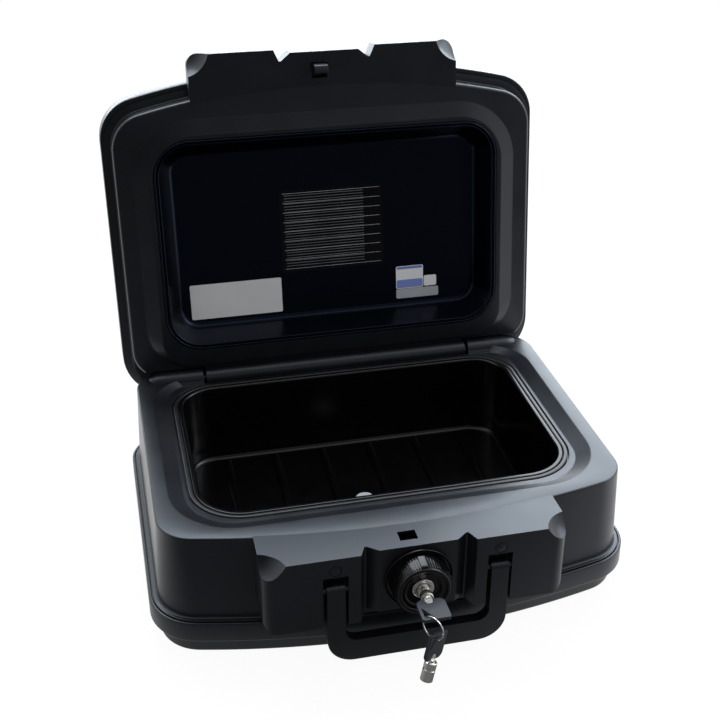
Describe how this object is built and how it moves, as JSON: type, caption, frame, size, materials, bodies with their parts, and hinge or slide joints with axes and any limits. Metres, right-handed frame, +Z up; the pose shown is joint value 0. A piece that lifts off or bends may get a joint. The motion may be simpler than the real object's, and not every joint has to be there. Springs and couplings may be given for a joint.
{
  "type": "fireproof data safe",
  "caption": "Small fire-resistant chest safe for data media: insulated base and hinged lid, knob latch with tubular key lock, bail carry handle.",
  "frame": {"origin": "middle of the base's flat underside", "axes": "+Z up, +Y from the front, where the knob is, to the hinge at the back, +X to the right as seen from the front"},
  "size_m": [0.4136, 0.4628, 0.404],
  "materials": {
    "body_plastic": "satin charcoal moulding",
    "liner_plastic": "smooth near-black moulding",
    "knob_plastic": "gloss black",
    "key_plastic": "satin dark grey",
    "plug_plastic": "satin pale grey",
    "gasket_rubber": "dark foam strip",
    "insulation": "cast mineral fill, sealed inside",
    "steel": "zinc plated",
    "lock_chrome": "bright nickel plate",
    "lock_brass": "turned brass"
  },
  "bodies": {
    "base": {"base_tray": "body_plastic", "base_shell": "body_plastic", "base_insulation": "insulation", "base_tub": "liner_plastic", "fill_plug": "plug_plastic", "gasket": "gasket_rubber", "latch_housing": "body_plastic", "escutcheon": "knob_plastic", "spindle_nut": "steel", "hinge_pin_left": "steel", "hinge_pin_right": "steel", "handle_pin_left": "steel", "handle_pin_right": "steel", "screw_cap_left": "body_plastic", "screw_cap_right": "body_plastic", "housing_screw_left": "steel", "housing_screw_right": "steel"},
    "lid": {"lid_rim": "body_plastic", "lid_cover": "body_plastic", "lid_insulation": "insulation", "lid_pan": "liner_plastic", "lid_housing": "body_plastic", "lid_hook": "body_plastic"},
    "knob": {"knob": "knob_plastic", "knob_spindle": "steel", "latch_cam": "steel", "lock_cylinder": "lock_chrome"},
    "lock": {"lock_plug": "lock_brass", "lock_tailpiece": "steel"},
    "key": {"key_shank": "lock_chrome", "key_bow": "key_plastic"},
    "ring": {"key_ring": "lock_chrome"},
    "spare_key": {"spare_key_shank": "lock_chrome", "spare_key_bow": "key_plastic"},
    "handle": {"bail_handle": "body_plastic"}
  },
  "joints": [
    {"name": "lid_hinge", "type": "hinge", "parent": "base", "child": "lid", "pos_m": [0, 0.1285, 0.1078], "axis": [1, 0, 0], "range_deg": [0, 98.3]},
    {"name": "knob_turn", "type": "hinge", "parent": "base", "child": "knob", "pos_m": [0, -0.18, 0.0815], "axis": [0, -1, 0], "range_deg": [0, 90]},
    {"name": "lock_turn", "type": "hinge", "parent": "knob", "child": "lock", "pos_m": [0, -0.18, 0.0815], "axis": [0, -1, 0], "range_deg": [0, 90]},
    {"name": "key_pull", "type": "slide", "parent": "lock", "child": "key", "axis": [0, -1, 0], "range_m": [0, 0.025]},
    {"name": "ring_swing", "type": "hinge", "parent": "key", "child": "ring", "pos_m": [-0.0024, -0.22, 0.0744], "axis": [0.829, 0.5592, 0], "range_deg": [-20, 20]},
    {"name": "spare_key_swing", "type": "hinge", "parent": "ring", "child": "spare_key", "pos_m": [-0.0024, -0.22, 0.0647], "axis": [-0.6157, 0.788, 0], "range_deg": [-25, 25]},
    {"name": "handle_swing", "type": "hinge", "parent": "base", "child": "handle", "pos_m": [0, -0.169, 0.081], "axis": [-1, 0, 0], "range_deg": [0, 35]}
  ]
}
